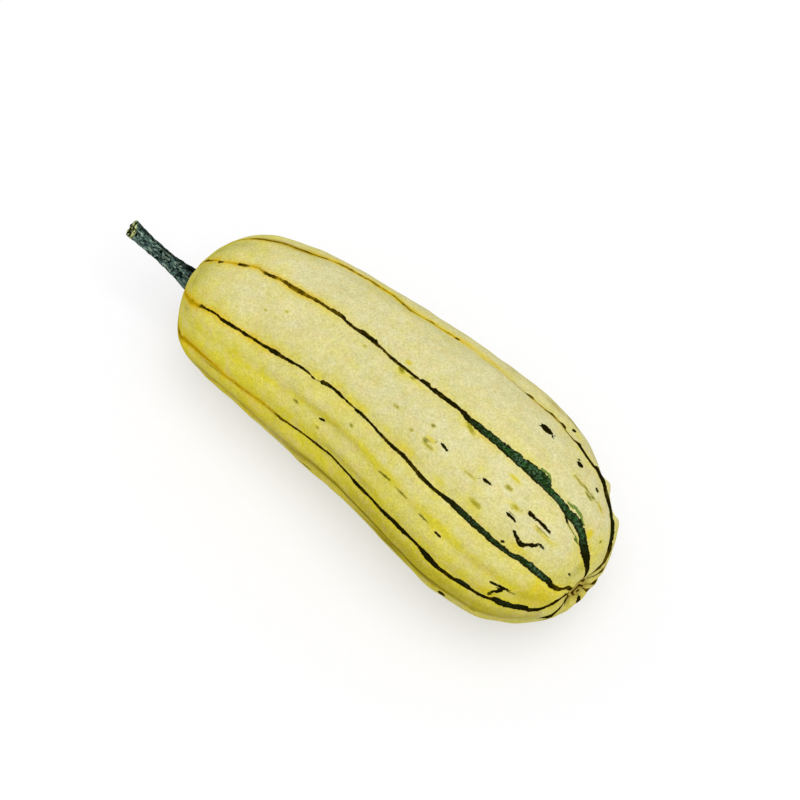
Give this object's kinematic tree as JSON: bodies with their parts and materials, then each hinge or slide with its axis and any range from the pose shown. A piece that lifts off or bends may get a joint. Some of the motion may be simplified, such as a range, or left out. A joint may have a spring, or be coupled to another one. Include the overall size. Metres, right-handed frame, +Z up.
{
  "type": "delicata squash",
  "caption": "Oblong winter squash with shallow lengthwise ribs, dark furrow stripes, a cut ridged stem and a corky blossom scar, lying on its side.",
  "frame": {"origin": "on the ground, under the middle of the whole squash's box, stem included", "axes": "+X from the stem end to the blossom end, +Z up from the ground, +Y to the side that the fruit bows towards"},
  "size_m": [0.2258, 0.0808, 0.0782],
  "materials": {
    "rind": "waxy cream and yellow rind with dark green furrow stripes, satin",
    "stem": "dry, rough, blue-green and grey speckled"
  },
  "bodies": {
    "root": {"fruit": "rind", "stem": "stem"}
  },
  "joints": []
}
